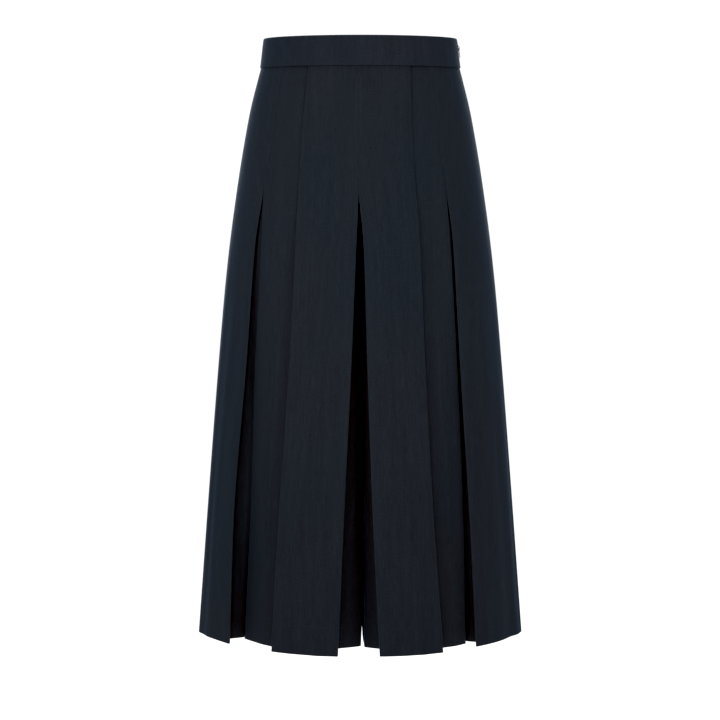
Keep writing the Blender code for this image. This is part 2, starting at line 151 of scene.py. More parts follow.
# %% Where each fold's edge lies
FOLD_DROPS = [d * MM for d in (37, 120, 197, 262, 421, 620, 800)]
Fold = namedtuple("Fold", "waist hip opening thigh knee calf hem set_back")
FOLDS = {
    "front_right": {
        "centre_return": Fold(30, 30, 30, 32, 39, 46, 52, 24),
        "centre_edge": Fold(1.88, 1.88, 2.0, 4.7, 11.6, 21.2, 29.1, 0),
        "inner_edge": Fold(67.0, 74.2, 79.6, 83.3, 92.2, 106.5, 117.4, 6),
        "inner_return": Fold(41, 48, 52, 55, 66, 81, 91, 22),
        "outer_edge": Fold(102.6, 114.5, 125.0, 127.9, 138.0, 146.0, 156.0, 54),
        "outer_return": Fold(94, 97, 102, 106, 114, 124, 132, 84),
        "side_return": Fold(124, 129, 142, 153, 168, 181, 190, 11),
        "side_edge": Fold(102.4, 114.3, 125.3, 136.3, 149.4, 168.1, 175.4, 8),
    },
    "front_left": {
        "centre_return": Fold(30, 30, 30, 32, 38, 44, 49, 22),
        "centre_edge": Fold(-2.2, -2.2, -2.1, 4.0, 9.2, 16.4, 25.3, 0),
        "inner_edge": Fold(64.8, 66.2, 71.6, 76.8, 84.0, 95.8, 109.5, 3),
        "inner_return": Fold(39, 40, 44, 49, 57, 71, 83, 20),
        "outer_edge": Fold(92.3, 101.0, 110.8, 116.4, 127.6, 136.8, 141.0, 36),
        "outer_return": Fold(84, 86, 89, 92, 100, 112, 123, 55),
        "side_return": Fold(113, 118, 128, 136, 149, 163, 174, 15),
        "side_edge": Fold(92.1, 100.8, 111.2, 120.1, 130.5, 144.0, 154.2, 13),
    },
    "back_right": {
        "centre_return": Fold(30, 30, 30, 32, 38, 44, 49, 18),
        "centre_edge": Fold(2.05, 2.05, 2.2, 5.0, 11, 18, 25, 0),
        "inner_edge": Fold(65, 70, 75, 79, 88, 100, 112, 5),
        "inner_return": Fold(40, 43, 48, 52, 61, 75, 87, 21),
        "outer_edge": Fold(104.6, 108.5, 116.6, 121, 131, 141, 149, 40),
        "outer_return": Fold(88, 90, 93, 96, 104, 116, 126, 68),
        "side_return": Fold(117, 122, 133, 141, 155, 168, 178, 18),
        "side_edge": Fold(104.7, 108.6, 117.0, 126, 138, 151, 162, 12),
    },
    "back_left": {
        "centre_return": Fold(30, 30, 30, 32, 39, 45, 50, 18),
        "centre_edge": Fold(-2.0, -2.0, -1.9, 1.5, 8, 17, 26.5, 0),
        "inner_edge": Fold(66, 71, 77, 81, 90, 102, 114, 5),
        "inner_return": Fold(41, 45, 50, 54, 63, 77, 89, 21),
        "outer_edge": Fold(106.6, 110.5, 118.6, 124, 134, 144, 152.5, 46),
        "outer_return": Fold(90, 92, 96, 100, 108, 119, 129, 74),
        "side_return": Fold(119, 124, 135, 144, 159, 172, 183, 16),
        "side_edge": Fold(106.7, 110.6, 119.0, 129, 143, 156, 168, 11),
    },
}
Layers = namedtuple("Layers", "first second tip")
LAYERS = {
    "centre_return": Layers(2, 1, +1),
    "centre_edge": Layers(1, 0, -1),
    "inner_edge": Layers(0, 1, +1),
    "inner_return": Layers(1, 2, -1),
    "outer_edge": Layers(0, 1, +1),
    "outer_return": Layers(2.2, 3.2, -1),
    "side_return": Layers(2, 1, +1),
    "side_edge": Layers(1, 0, -1),
}
INNER_CORNER = {
    "front_right": (46 * MM, 1.5 * MM),
    "front_left": (40 * MM, 4.0 * MM),
    "back_right": (42 * MM, 3.0 * MM),
    "back_left": (44 * MM, 2.0 * MM),
}
Slot = namedtuple("Slot", "drop width wave centre")
SLOTS = [Slot(*[value * MM for value in row]) for row in (
    (0, 0.04, 0.0, -2.2),
    (310, 0.04, 0.0, -2.2),
    (440, 1.0, 4.0, -1.0),
    (710, 1.6, 4.5, 1.0),
    (800, 4.2, 1.0, 2.0),
)]
SLOT_WAVE_LENGTH = 110 * MM
print("folds a quarter", len(LAYERS), "folds in all", len(FOLDS) * len(LAYERS))

# %% [markdown]
# ## Soft shaping
#
# Pressed wool twill hangs almost flat between its pleats, but never quite. Three small movements
# along the outline's outward direction make it cloth: a slow waviness that every layer shares, so
# that no layer can pass through its neighbour, a slight belly on the panels that show, and a few
# long soft creases placed where such a garment drapes. All are a millimetre or two at most.

# %% Waviness, bellies and creases
Crease = namedtuple("Crease", "at_top at_hem start end width rise")
MIDDLE_PANEL, SECOND_PANEL, SIDE_PANEL = 1, 2, 3
CREASES = {
    ("front_left", MIDDLE_PANEL): [
        Crease(0.30, 0.22, 230, 700, 0.07, 0.9), Crease(0.55, 0.66, 340, 800, 0.10, 0.8),
    ],
    ("front_left", SECOND_PANEL): [Crease(0.50, 0.55, 300, 800, 0.16, 0.7)],
    ("front_left", SIDE_PANEL): [
        Crease(0.30, 0.36, 260, 800, 0.07, 1.0), Crease(0.62, 0.66, 420, 800, 0.08, 0.9),
    ],
    ("front_right", MIDDLE_PANEL): [
        Crease(0.25, 0.30, 330, 800, 0.09, 0.8), Crease(0.68, 0.72, 260, 690, 0.08, 0.7),
    ],
    ("front_right", SECOND_PANEL): [Crease(0.42, 0.40, 300, 780, 0.15, 0.8)],
    ("front_right", SIDE_PANEL): [
        Crease(0.34, 0.42, 300, 800, 0.08, 1.0), Crease(0.66, 0.70, 240, 700, 0.08, 0.8),
    ],
    ("back_left", MIDDLE_PANEL): [
        Crease(0.34, 0.28, 280, 800, 0.08, 0.9), Crease(0.66, 0.74, 360, 800, 0.09, 0.8),
    ],
    ("back_left", SIDE_PANEL): [Crease(0.36, 0.40, 300, 800, 0.08, 1.0)],
    ("back_right", MIDDLE_PANEL): [Crease(0.40, 0.30, 250, 760, 0.09, 0.9)],
    ("back_right", SECOND_PANEL): [Crease(0.50, 0.52, 330, 800, 0.15, 0.8)],
    ("back_right", SIDE_PANEL): [Crease(0.40, 0.52, 260, 800, 0.08, 1.0)],
}
BELLY = {MIDDLE_PANEL: 1.6 * MM, SECOND_PANEL: 0.9 * MM, SIDE_PANEL: 1.2 * MM}
BELLY_FULL = 500 * MM
CREASE_GROWS, CREASE_FADES = 120 * MM, 100 * MM
CALM_EDGE = 3
WAVES_ACROSS, WAVES_DOWN = 26.0, 3.4
FINER_ACROSS, FINER_DOWN, FINER_SHARE = 2.6, 2.2, 0.35
PIECE_SEED, FINER_SEED = 3.7, 9
WAVES_SEWN, WAVES_FROM = 0.10 * MM, 90 * MM
WAVES_GROW = ((0.75 * MM, 200 * MM, 450 * MM), (0.5 * MM, 450 * MM, 800 * MM))


def waviness(piece, around, drop):
    """How far the cloth of every layer stands out at a place round the piece and a drop."""
    high = WAVES_SEWN + sum(rise * ramp(start, end, drop) for rise, start, end in WAVES_GROW)
    across, down = around * WAVES_ACROSS, drop * WAVES_DOWN
    seed = PIECE_SEED * list(FOLDS).index(piece)
    slow = noise.noise(Vector((across, down, seed)))
    fine = noise.noise(Vector((across * FINER_ACROSS, down * FINER_DOWN, seed + FINER_SEED)))
    return high * (slow + FINER_SHARE * fine) * ramp(BAND_HEIGHT, WAVES_FROM, drop)


def panel_rise(piece, panel, share, drop):
    """How far a panel that shows stands out, a share of the way across it."""
    flank = math.sin(math.pi * share)
    rise = BELLY[panel] * flank * ramp(PLEATS_OPEN, BELLY_FULL, drop)
    for crease in CREASES.get((piece, panel), ()):
        start, end = crease.start * MM, crease.end * MM
        t = min(1.0, max(0.0, (drop - start) / (end - start)))
        beside = (share - crease.at_top * (1 - t) - crease.at_hem * t) / crease.width
        grown = ramp(start, start + CREASE_GROWS, drop) * (1 - ramp(end, end + CREASE_FADES, drop))
        high = crease.rise * MM * min(1.0, CALM_EDGE * flank)
        rise += high * grown * math.exp(-beside * beside)
    return rise


print("creases placed", sum(len(creases) for creases in CREASES.values()))

# %% [markdown]
# ## A level section of one leg piece
#
# Pleated cloth is easiest to draw from above. At each level the cloth is one line that runs from
# the inseam, along the inner side of the leg, back and forth through the pleats, and on to the side
# seam. Each fold is a small half circle between two layers. The line is drawn in one corner, with
# x away from the centre plane and y away from the side seams, and is mirrored into place later. At
# the top the cloth dips under the waistband, and a little below it stands just proud of the outline.

# %% How the cloth is tucked under the waistband
SIDE_SEAM = math.pi / 2
TUCK, TUCK_ENDS = 1.6 * MM, (37.5 * MM, 48 * MM)
TUCK_EASES, TUCK_EASES_FROM = 0.6, 1.1
STANDS_PROUD, PROUD_GROWS = {-1: 0.75 * MM, 1: 0.4 * MM}, (40 * MM, 75 * MM)


def stands_out(side, around, drop):
    """How far the cloth stands proud of the outline: below it where it is tucked under the band."""
    eased = 1 - TUCK_EASES * ramp(TUCK_EASES_FROM, SIDE_SEAM, around)
    tuck = TUCK * eased * (1 - ramp(*TUCK_ENDS, drop))
    return STANDS_PROUD[side] * ramp(*PROUD_GROWS, drop) - tuck


print("tucked under the band by", round(-stands_out(1, 0, 0) * 1000, 2), "mm")

# %% The outline, the folds and the inner side at one level
SMALL_TURN = math.radians(0.5)
SEAM_ROUND = 0.48 * MM
SEAM_EDGE = SEAM_GAP / 2 + HALF_CLOTH + SEAM_ROUND


class Level:
    """A leg piece's outline, fold places and inner side at one drop."""

    def __init__(self, piece, drop):
        self.piece = piece
        self.drop = min(drop, LENGTH)
        self.side = 1 if piece.endswith("left") else -1
        self.face = -1 if piece.startswith("front") else 1
        self.half_width = along_table(OUTLINE, self.drop, "half_width")
        self.depth = along_table(OUTLINE, self.drop, "front" if self.face < 0 else "back")
        self.pitch = PITCH_SEWN + (PITCH_AT_HEM - PITCH_SEWN) * opened(self.drop)

    def outline_at(self, turn):
        beyond = max(0.0, math.sin(turn) - NARROWS_FROM) / (1 - NARROWS_FROM)
        narrower = 1 - NARROWING * opened(self.drop) * beyond * beyond
        return Vector((self.half_width * math.sin(turn), self.depth * narrower * math.cos(turn)))

    def way_round(self, turn):
        return self.outline_at(turn + SMALL_TURN) - self.outline_at(turn - SMALL_TURN)

    def outward_at(self, turn):
        way = self.way_round(turn)
        return Vector((-way.y, way.x)).normalized()

    def place(self, turn, layer, back):
        return self.outline_at(turn) - self.outward_at(turn) * layer * self.pitch - Vector((0, back))

    def fold_at(self, name):
        """The angle where a fold's cloth starts to turn, and how far back it hangs."""
        fold = FOLDS[self.piece][name]
        across = smooth_between(FOLD_DROPS, fold[: len(FOLD_DROPS)], self.drop) * MM
        turn = math.asin(min(1.0, across / self.half_width))
        reach = self.pitch / 2 + HALF_CLOTH
        turn -= LAYERS[name].tip * reach * 2 * SMALL_TURN / self.way_round(turn).length
        return turn, fold.set_back * MM * opened(self.drop)

    def before(self, name):
        """Where the cloth comes to a fold: its angle, its layer and how far back it is."""
        turn, back = self.fold_at(name)
        return turn, LAYERS[name].first, back

    def after(self, name):
        """Where the cloth leaves a fold, in the same form."""
        turn, back = self.fold_at(name)
        return turn, LAYERS[name].second, back

    def crotch_edge(self, corner):
        """How far forward (or back) the piece begins: its crotch curve, then its inseam."""
        if self.drop >= CROTCH:
            return SEAM_EDGE
        start = corner - SEAM_TURN
        if self.drop <= CROTCH_CURVE_TOP:
            return start
        down = (self.drop - CROTCH_CURVE_TOP) / (CROTCH - CROTCH_CURVE_TOP)
        return max(SEAM_EDGE, start * math.sqrt(1 - down * down))

    def inner_wall(self, depth):
        """How far the inner side's cloth stands from the centre plane, at a depth."""
        width, wave, centre = [straight_along(SLOTS, self.drop, c) for c in ("width", "wave", "centre")]
        across = centre + wave * math.sin(2 * math.pi * self.face * depth / SLOT_WAVE_LENGTH)
        return (width + CLOTH) / 2 + self.side * across


print("half width at the hem", round(Level("front_right", LENGTH).half_width * 1000), "mm")

# %% The line of the cloth at one level
FOLD_STEPS = 4
INNER_POINTS, CORNER_POINTS, SHORT_POINTS, WIDE_POINTS, SIDE_POINTS = 12, 3, 4, 13, 16
NEXT_TO_SEAM = 1.7 * MM
CORNER_TURN = math.radians(75)
CORNER_RADIUS = 1.2 * MM
CORNER_DEEPENS = 0.5
SOFTENING = 6
WAVES_ROUND, CALM_SEAM_FROM = 0.16, 1.45
# How pressed the seams, corners and fold tips are: the twill makes such places smoother and paints them
# lighter, partly press shine and partly a painted highlight.
SEAM_PRESSED_AND_HIGHLIT, CORNER_PRESSED_AND_HIGHLIT, FOLD_PRESSED_AND_HIGHLIT = 0.5, 0.3, 0.4
Spot = namedtuple("Spot", "point outward around panel share pressed")


class ClothLine(Level):
    """The middle line of a leg piece's cloth at one drop."""

    def __init__(self, piece, drop):
        super().__init__(piece, drop)
        self.spots = []

    def add(self, point, turn=None, panel=0, share=0.0, pressed=0.0):
        outward = Vector((0, 0)) if turn is None else self.outward_at(turn)
        self.spots.append(Spot(point, outward, turn or 0.0, panel, share, pressed))

    def add_fold(self, name):
        """A half circle of cloth from the fold's first layer round its tip to its second."""
        start, end = self.place(*self.before(name)), self.place(*self.after(name))
        along = (start - end).normalized()
        tip = Vector((abs(along.y), -along.x * math.copysign(1, along.y))) * LAYERS[name].tip
        radius = (start - end).length / 2
        for step in range(FOLD_STEPS + 1):
            angle = math.pi * step / FOLD_STEPS
            point = (start + end) / 2 + along * radius * math.cos(angle) + tip * radius * math.sin(angle)
            pressed = FOLD_PRESSED_AND_HIGHLIT + (1 - FOLD_PRESSED_AND_HIGHLIT) * math.sin(angle)
            self.add(point, self.fold_at(name)[0], pressed=pressed)

    def add_stretch(self, count, first, last, panel=0):
        """Points between two places on the cloth, each an angle, a layer and a distance back."""
        for i in range(1, count + 1):
            share = i / (count + 1)
            turn, layer, back = [a * (1 - share) + b * share for a, b in zip(first, last)]
            self.add(self.place(turn, layer, back), turn, panel, share)

    def fold_to(self, name, count, following, panel=0):
        """A fold, and the points between it and the next one."""
        self.add_fold(name)
        self.add_stretch(count, self.after(name), self.before(following), panel)

    def add_inner_side(self):
        """From the inseam, along the inner side of the leg, to the start of the centre pleat."""
        set_back, radius = INNER_CORNER[self.piece]
        shape = opened(self.drop) ** CORNER_DEEPENS
        corner = self.depth - 2 * self.pitch - set_back * shape
        radius = CORNER_RADIUS + (radius - CORNER_RADIUS) * shape
        edge = self.crotch_edge(corner)
        near = edge + NEXT_TO_SEAM
        self.add(Vector((self.inner_wall(edge), edge)), pressed=SEAM_PRESSED_AND_HIGHLIT)
        for i in range(INNER_POINTS):
            depth = near + (corner - radius - near) * i / (INNER_POINTS - 1)
            self.add(Vector((self.inner_wall(depth), depth)))
        wall = self.inner_wall(corner)
        for step in range(1, CORNER_POINTS + 1):
            angle = CORNER_TURN * step / CORNER_POINTS
            round_by = Vector((1 - math.cos(angle), math.sin(angle))) * radius
            self.add(Vector((wall, corner - radius)) + round_by, pressed=CORNER_PRESSED_AND_HIGHLIT)
        last = self.spots[-1].point
        first = self.place(*self.before("centre_return"))
        for i in range(1, SHORT_POINTS + 1):
            share = i / (SHORT_POINTS + 1)
            point = last * (1 - share) + first * share
            self.add(point, math.asin(min(1.0, point.x / self.half_width)))

    def draw(self):
        """Every spot of the level, from the inseam or centre seam to the side seam."""
        self.add_inner_side()
        self.fold_to("centre_return", SHORT_POINTS, "centre_edge")
        self.fold_to("centre_edge", WIDE_POINTS, "inner_edge", MIDDLE_PANEL)
        self.fold_to("inner_edge", SHORT_POINTS, "inner_return")
        self.add_fold("inner_return")
        hidden = self.after("inner_return")
        covered = (self.fold_at("inner_edge")[0], *hidden[1:])
        self.add_stretch(SHORT_POINTS, hidden, covered)
        self.add(self.place(*covered), covered[0])
        self.add_stretch(WIDE_POINTS, covered, self.before("outer_edge"), SECOND_PANEL)
        self.fold_to("outer_edge", SHORT_POINTS, "outer_return")
        self.fold_to("outer_return", WIDE_POINTS, "side_return")
        self.fold_to("side_return", SHORT_POINTS, "side_edge")
        self.add_fold("side_edge")
        self.add_stretch(SIDE_POINTS, self.after("side_edge"), (SIDE_SEAM, 0, 0), SIDE_PANEL)
        for beyond, pressed in ((NEXT_TO_SEAM, 0.0), (0.0, SEAM_PRESSED_AND_HIGHLIT)):
            point = Vector((self.half_width, SEAM_EDGE + beyond))
            self.add(point, SIDE_SEAM, SIDE_PANEL, 1.0, pressed)
        return self.shaped()

    def shaped(self):
        """The spots' points, softened between the folds and moved out by the drape."""
        points = [spot.point for spot in self.spots]
        for _ in range(SOFTENING):
            before = list(points)
            for i in range(2, len(points) - 2):
                if self.spots[i].pressed == 0 and self.spots[i].around:
                    points[i] = before[i] / 2 + (before[i - 1] + before[i + 1]) / 4
        moved = []
        for spot, point in zip(self.spots, points):
            at_seam = 1 - ramp(CALM_SEAM_FROM, SIDE_SEAM, spot.around)
            rise = waviness(self.piece, spot.around * WAVES_ROUND, self.drop) * at_seam
            rise += stands_out(self.side, spot.around, self.drop)
            if spot.panel:
                rise += panel_rise(self.piece, spot.panel, spot.share, self.drop)
            moved.append(point + spot.outward * rise)
        return moved


print("points on a level", len(ClothLine("front_right", LENGTH).draw()))

# %% [markdown]
# ## Hem, seam allowances and walls
#
# A hem is the same cloth turned up inside, and a seam allowance is the same cloth turned back along
# the seam. Both are drawn as one more stretch of the line, moved to the wrong side of the cloth. So
# the grid of a leg piece goes down the outside, round the bottom edge and 38 mm up inside, and at
# the seams round a small bend and 11 mm back. Solidify then gives this sheet its real thickness.

# %% Moving a line sideways, and turning its ends back
HEM_ROUND = 0.5 * MM
HEM_STEPS = 6
ALLOWANCE_AT = [d * MM for d in (11, 8.5, 6, 3.6, 1.6)]
BEND_ANGLES = [math.radians(a) for a in (180, 135, 90, 45)]
SHARPEST_MITRE = 0.5


def lefts_of(points):
    """At each point, the mitred direction to the left of the way the line runs."""
    ways = [(after - before).normalized() for before, after in zip(points, points[1:])]
    ways = [ways[0]] + ways + [ways[-1]]
    lefts = []
    for way_in, way_out in zip(ways, ways[1:]):
        left = Vector((-way_in.y, way_in.x))
        mitre = (left + Vector((-way_out.y, way_out.x))).normalized()
        lefts.append(mitre / max(SHARPEST_MITRE, mitre.dot(left)))
    return lefts


def inside_of(points, inset):
    return [point - left * inset for point, left in zip(points, lefts_of(points))]


def turned_back(points):
    """The allowance and the bend before a line's first point, on the wrong side of the cloth."""
    way = (points[1] - points[0]).normalized()
    left = Vector((-way.y, way.x))
    centre = points[0] - left * SEAM_ROUND
    lefts = lefts_of(points)
    back = []
    for distance in ALLOWANCE_AT:
        walked, k = 0.0, 0
        while walked + (points[k + 1] - points[k]).length < distance:
            walked += (points[k + 1] - points[k]).length
            k += 1
        share = (distance - walked) / (points[k + 1] - points[k]).length
        side = lefts[k] * (1 - share) + lefts[k + 1] * share
        back.append(points[k].lerp(points[k + 1], share) - side * 2 * SEAM_ROUND)
    for angle in BEND_ANGLES:
        back.append(centre + left * SEAM_ROUND * math.cos(angle) - way * SEAM_ROUND * math.sin(angle))
    return back


def turned_back_at_end(points):
    """The same after a line's last point: the line is mirrored, turned back and mirrored again."""
    flipped = [Vector((point.x, -point.y)) for point in reversed(points)]
    return [Vector((point.x, -point.y)) for point in reversed(turned_back(flipped))]


print("hem turned up", round(HEM_TURN_UP * 1000), "mm, allowances", round(ALLOWANCE_AT[0] * 1000), "mm")

# %% The rows of the grid, and the cloth piece made from them
PIECE_TOP = 33 * MM
FINE_ROW, COARSE_ROW, LAST_ROW = 4.5 * MM, 9 * MM, 4 * MM
FINE_STRETCHES = ((0, 60 * MM), (180 * MM, 250 * MM), (LENGTH - HEM_TURN_UP - 10 * MM, LENGTH))
ROWS_INSIDE = [d * MM for d in (4, 9, 15, 22, 29, 35, 37)]
Row = namedtuple("Row", "drop inset down")


def leg_rows():
    """Down the outside, round the hem and up inside: each row's drop, inset and place down the cloth."""
    rows, drop = [], PIECE_TOP
    bottom = LENGTH - HALF_CLOTH - HEM_ROUND
    while drop < bottom - LAST_ROW:
        rows.append(Row(drop, 0.0, drop))
        fine = any(start <= drop < end for start, end in FINE_STRETCHES)
        drop += FINE_ROW if fine else COARSE_ROW
    for step in range(HEM_STEPS + 1):
        angle = math.pi * step / HEM_STEPS
        place = bottom + HEM_ROUND * angle
        rows.append(Row(bottom + HEM_ROUND * math.sin(angle), HEM_ROUND * (1 - math.cos(angle)), place))
    for up in ROWS_INSIDE:
        rows.append(Row(bottom - up, 2 * HEM_ROUND, bottom + HEM_ROUND * math.pi + up))
    return rows


def new_object(name, data):
    made = bpy.data.objects.new(name, data)
    bpy.context.scene.collection.objects.link(made)
    return made


def sheet_object(name, rows, kept, flipped):
    """A mesh from rows of (point, along, down, pressed), with the quads that kept(row, column) allows."""
    used, points, marks, faces = {}, [], [], []
    for i in range(len(rows) - 1):
        for j in range(len(rows[0]) - 1):
            if not kept(i, j):
                continue
            corners = []
            for key in ((i, j), (i, j + 1), (i + 1, j + 1), (i + 1, j)):
                if key not in used:
                    used[key] = len(points)
                    point, *mark = rows[key[0]][key[1]]
                    points.append(point)
                    marks.append(mark)
                corners.append(used[key])
            faces.append(corners[::-1] if flipped else corners)
    mesh = bpy.data.meshes.new(name)
    mesh.from_pydata(points, [], faces)
    uv_map = mesh.uv_layers.new(name="cloth_map")
    for loop in mesh.loops:
        along, down, _ = marks[loop.vertex_index]
        uv_map.data[loop.index].uv = (along, -down)
    pressed = mesh.attributes.new("pressed", "FLOAT", "POINT")
    pressed.data.foreach_set("value", [mark[-1] for mark in marks])
    mesh.shade_smooth()
    return new_object(name, mesh)


def thicken(piece, thickness):
    solid = piece.modifiers.new("thickness", "SOLIDIFY")
    solid.thickness = thickness
    solid.offset = 0
    solid.use_even_offset = True
    solid.use_quality_normals = True


def flat_area(piece):
    return sum(face.area for face in piece.data.polygons)


print("rows of a leg piece", len(leg_rows()))

# %% [markdown]
# ## The four leg pieces
#
# Each leg of real culottes has a front and a back piece. They meet at the side seam and the inseam,
# and the two fronts and the two backs meet in the crotch seam, which curves under the body. All
# four are drawn with the same function, because only their tables differ.

# %% Make the four leg pieces
# The seam allowances, their bends and the hem's bottom edge count as pressed: smoother, and painted
# lighter, partly press shine and partly a painted highlight.
ALLOWANCE_PRESSED_AND_HIGHLIT, BEND_PRESSED_AND_HIGHLIT, HEM_PRESSED_AND_HIGHLIT = 0.2, [0.3, 0.6, 1.0, 0.8], 0.5
HEM_PRESSED_AND_HIGHLIT_FROM = LENGTH - 1.5 * MM
HEM_TOP = LENGTH - HEM_TURN_UP - 1 * MM
ENDS = len(ALLOWANCE_AT) + len(BEND_ANGLES)


def raw_edges_of(rows, levels, side, face):
    """The hem's raw edge and the two seams' raw edges: points, side faced and way into the cloth."""
    columns = slice(ENDS + 1, len(rows[0]) - 1 - ENDS)
    outside = max(k for k, row in enumerate(levels) if not row.inset and row.drop <= levels[-1].drop)
    turned_up = [mark[0] for mark in rows[-1][columns]]
    inward = [inner - mark[0] for inner, mark in zip(turned_up, rows[outside][columns])]
    inward = [Vector((way.x, way.y, 0)).normalized() for way in inward]
    edges = [(turned_up, inward, Vector((0, 0, -1)))]
    for column, first, facing in ((-1, 0, -side), (0, CROTCH, side)):
        kept = [k for k, row in enumerate(levels) if not row.inset and first <= row.drop < HEM_TOP]
        seam = [rows[k][column][0] for k in kept]
        edges.append((seam, [Vector((facing, 0, 0))] * len(seam), Vector((0, -face, 0))))
    return edges


def make_leg_piece(piece):
    """A leg piece, its width at the widest level and its raw edges."""
    rows, levels, widest = [], leg_rows(), 0.0
    for row in levels:
        line = ClothLine(piece, row.drop)
        points = line.draw()
        if row.inset:
            points = inside_of(points, row.inset)
        if not rows:
            ends_pressed_and_highlit = [ALLOWANCE_PRESSED_AND_HIGHLIT] * len(ALLOWANCE_AT) + BEND_PRESSED_AND_HIGHLIT
            pressed = ends_pressed_and_highlit + [spot.pressed for spot in line.spots] + ends_pressed_and_highlit[::-1]
            middle = ENDS + INNER_POINTS + CORNER_POINTS + 3 * SHORT_POINTS + WIDE_POINTS
        points = turned_back(points) + points + turned_back_at_end(points)
        along = [0.0]
        for low, high in zip(points, points[1:]):
            along.append(along[-1] + (high - low).length)
        widest = max(widest, along[-1])
        hem_pressed_and_highlit = HEM_PRESSED_AND_HIGHLIT if row.drop > HEM_PRESSED_AND_HIGHLIT_FROM else 0.0
        placed = [Vector((line.side * p.x, line.face * p.y, height(row.drop))) for p in points]
        rows.append([
            (point, place - along[middle], row.down, max(mark, hem_pressed_and_highlit))
            for point, place, mark in zip(placed, along, pressed)
        ])
    last = len(rows[0]) - 2

    def kept(i, j):
        low, high = levels[i], levels[i + 1]
        if high.inset > 0:
            return ENDS < j < last - ENDS
        if j < ENDS and low.drop < CROTCH:
            return False
        return min(j, last - j) >= len(ALLOWANCE_AT) or high.drop < HEM_TOP

    made = sheet_object(piece + "_cloth", rows, kept, line.side * line.face < 0)
    return made, widest, raw_edges_of(rows, levels, line.side, line.face)


legs, leg_widths, raw_edges = {}, {}, []
for leg_name in FOLDS:
    leg, leg_widths[leg_name], leg_edges = make_leg_piece(leg_name)
    legs[leg_name] = leg
    raw_edges += leg_edges
    print(
        leg_name, "faces", len(leg.data.polygons), "widest", round(leg_widths[leg_name] * 1000),
        "mm, area", round(flat_area(leg), 4), "m2",
    )

# %% [markdown]
# ## The waistband
#
# The band is a straight strip folded lengthwise over a stiffening, so both of its long edges end
# inside. One path goes round its section: up the inner facing, over the top fold, down the
# outside with a slight crown, and back up inside where the lower edge is turned in. The path is swept
# round each half of the waist, and at the side seams its plies roll in towards each other.

# %% Sweep the two halves of the waistband
BAND_SECTION = (
    (-4.3, 36.4), (-4.05, 32), (-3.4, 25), (-2.8, 18), (-2.35, 11), (-2.15, 5), (-2.1, 2.2),
    (-1.85, 1.1), (-1.25, 0.45), (-0.6, 0.28), (0.05, 0.45), (0.55, 1.1), (0.72, 2.2), (0.84, 4.5),
    (0.98, 9), (1.1, 14), (1.14, 19), (1.1, 24), (1.0, 29), (0.86, 33.5), (0.78, 36.1), (0.62, 36.68),
    (0.33, 36.68), (0.2, 36.2), (0.17, 34), (0.16, 30),
)
BAND_STEPS = 84
BAND_RISE = 1.4 * MM
BAND_RISE_ENDS = 20
BAND_END_PROFILE = ((0.10 * MM, 0.85), (0.5 * MM, 0.45), (0.9 * MM, 0.16), (1.5 * MM, 0.0))
BAND_END_LONGER = 1.45
BAND_TOP_PRESSED_AND_HIGHLIT = 1.2
CROWN_CENTRE = -0.7
MIDDLE_HIGHER = 0.35
BAND_SOFT, SOFT_ROUND, SOFT_DOWN, SOFT_SEED = 0.22, 2.6, 0.02, 5
MAP_PER_TURN = 0.115


def band_turns():
    """Angles round half the waist, close together at the side seams, with how far the plies roll in."""
    half_width = OUTLINE[0].half_width
    ends = [(SIDE_SEAM - depth / half_width * BAND_END_LONGER, roll) for depth, roll in BAND_END_PROFILE]
    widest = ends[-1][0]
    middle = [(widest * (2 * i / BAND_STEPS - 1), 0.0) for i in range(1, BAND_STEPS)]
    return [(-turn, roll) for turn, roll in ends] + middle + [(turn, roll) for turn, roll in reversed(ends)]


def beside_band(turn, drop, face, proud):
    """How far across and how deep a place is that stands proud of the outline, and its way outward."""
    width = along_table(OUTLINE, drop, "half_width")
    depth = along_table(OUTLINE, drop, "front" if face < 0 else "back")
    outward = Vector((math.sin(turn) / width, math.cos(turn) / depth)).normalized()
    return width * math.sin(turn) + outward.x * proud, depth * math.cos(turn) + outward.y * proud, outward


def make_band(name, face):
    """Half of the waistband, and the length of the path round its section."""
    down = [0.0]
    for low, high in zip(BAND_SECTION, BAND_SECTION[1:]):
        down.append(down[-1] + math.dist(low, high) * MM)
    rows = []
    for k, (out, drop) in enumerate(BAND_SECTION):
        rise = BAND_RISE * (1 - ramp(0, BAND_RISE_ENDS, drop))
        row = []
        for turn, roll in band_turns():
            facing = math.cos(turn) ** 2
            soft = noise.noise(Vector((turn * SOFT_ROUND, drop * SOFT_DOWN, face * SOFT_SEED))) * facing
            proud = (out * (1 - roll) + CROWN_CENTRE * roll + soft * BAND_SOFT) * MM
            across, deep, _ = beside_band(turn, drop * MM, face, proud)
            z = height(drop * MM) + rise * (1 + MIDDLE_HIGHER * facing)
            point = Vector((across, face * max(deep, BAND_END_PROFILE[0][0]), z))
            # The band's top fold and its rolled ends count as pressed, so they are painted lighter too:
            # partly press shine, partly a painted highlight.
            pressed = 1.0 if drop < BAND_TOP_PRESSED_AND_HIGHLIT else roll
            row.append((point, turn * MAP_PER_TURN, down[k], pressed))
        rows.append(row)
    made = sheet_object(name, rows, lambda i, j: True, face < 0)
    return made, down[-1]


bands = {}
for band_name, band_face in (("waistband_front", -1), ("waistband_back", 1)):
    bands[band_name], band_path = make_band(band_name + "_cloth", band_face)
    print(band_name, "faces", len(bands[band_name].data.polygons), "ply", round(band_path * 1000), "mm")

# %% [markdown]
# ## A few helpers for node trees
#
# A material's look is a small tree of nodes. Adding a node, setting its sockets and linking it takes
# three lines each time, so one helper does all three: a socket that is given becomes a link, and a
# number or a colour becomes the socket's own value.

